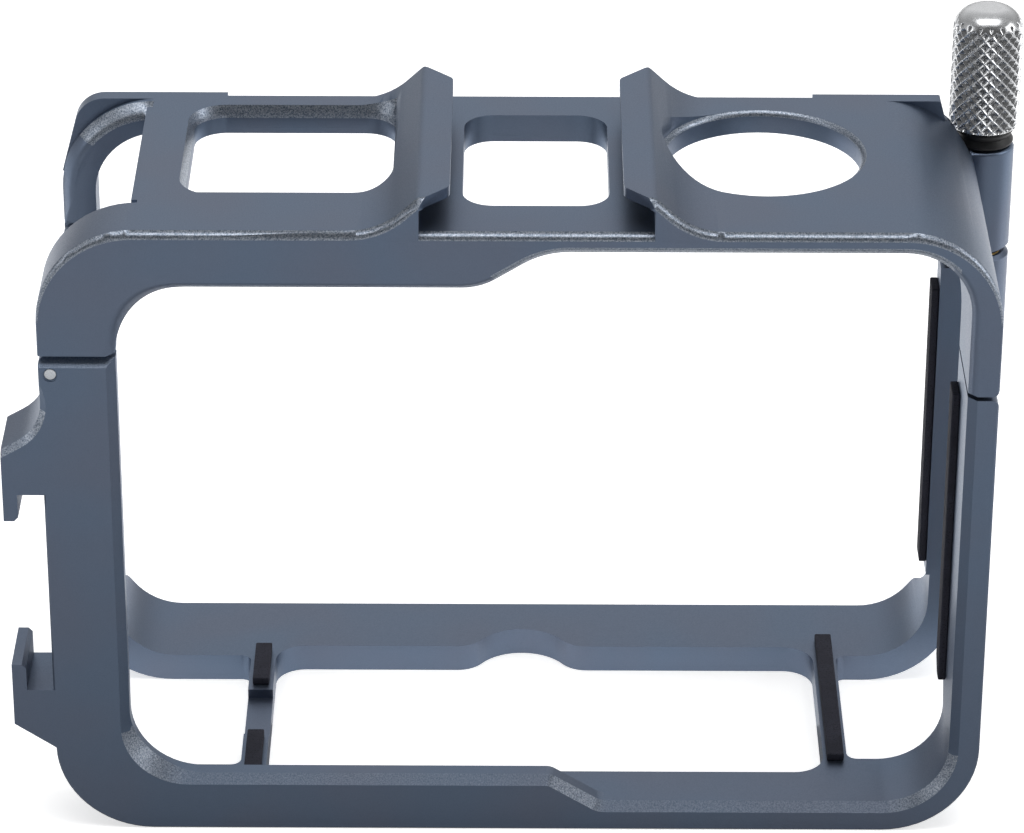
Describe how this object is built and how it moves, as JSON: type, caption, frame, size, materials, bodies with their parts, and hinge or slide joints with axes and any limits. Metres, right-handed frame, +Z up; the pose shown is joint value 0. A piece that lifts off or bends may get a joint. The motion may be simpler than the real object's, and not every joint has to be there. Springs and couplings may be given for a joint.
{
  "type": "camera cage",
  "caption": "Hinged metal camera cage that opens like a shell and closes with a captive thumb screw, with cold-shoe rails on top and at the side and foam pads inside.",
  "frame": {"origin": "centre of the footprint, on the underside of the bottom strips", "axes": "+Z up, -Y towards the near side with the retaining lip, +X towards the side with the thumb screw"},
  "size_m": [0.0846, 0.0338, 0.0635],
  "materials": {
    "frame_aluminium": "bead-blasted slate grey anodised aluminium",
    "steel": "bright turned stainless steel",
    "knob_steel": "knurled stainless steel with a satin domed end",
    "black_rubber": "matte black sealing rubber",
    "clip_steel": "blackened spring steel",
    "brass": "plain machined brass",
    "pad_foam": "matte near-black closed-cell foam"
  },
  "bodies": {
    "lower": {"lower_frame": "frame_aluminium", "hinge_pin_near": "steel", "hinge_pin_far": "steel", "boss_insert": "brass", "pad_bar_left_far": "pad_foam", "pad_bar_left_near": "pad_foam", "pad_bar_right": "pad_foam", "pad_wall_far": "pad_foam", "pad_wall_near": "pad_foam"},
    "upper": {"upper_frame": "frame_aluminium", "pad_top_left": "pad_foam", "pad_top_right": "pad_foam"},
    "screw": {"thumb_knob": "knob_steel", "screw_stud": "steel", "screw_seal_ring": "black_rubber", "screw_clip": "clip_steel"}
  },
  "joints": [
    {"name": "frame_hinge", "type": "hinge", "parent": "lower", "child": "upper", "pos_m": [-0.03788, -0.0138, 0.04327], "axis": [0, -1, 0], "range_deg": [0, 105]},
    {"name": "screw_turn", "type": "hinge", "parent": "upper", "child": "screw", "pos_m": [0.03943, 0.01195, 0.0528], "axis": [0, 0, 1], "continuous": true}
  ]
}
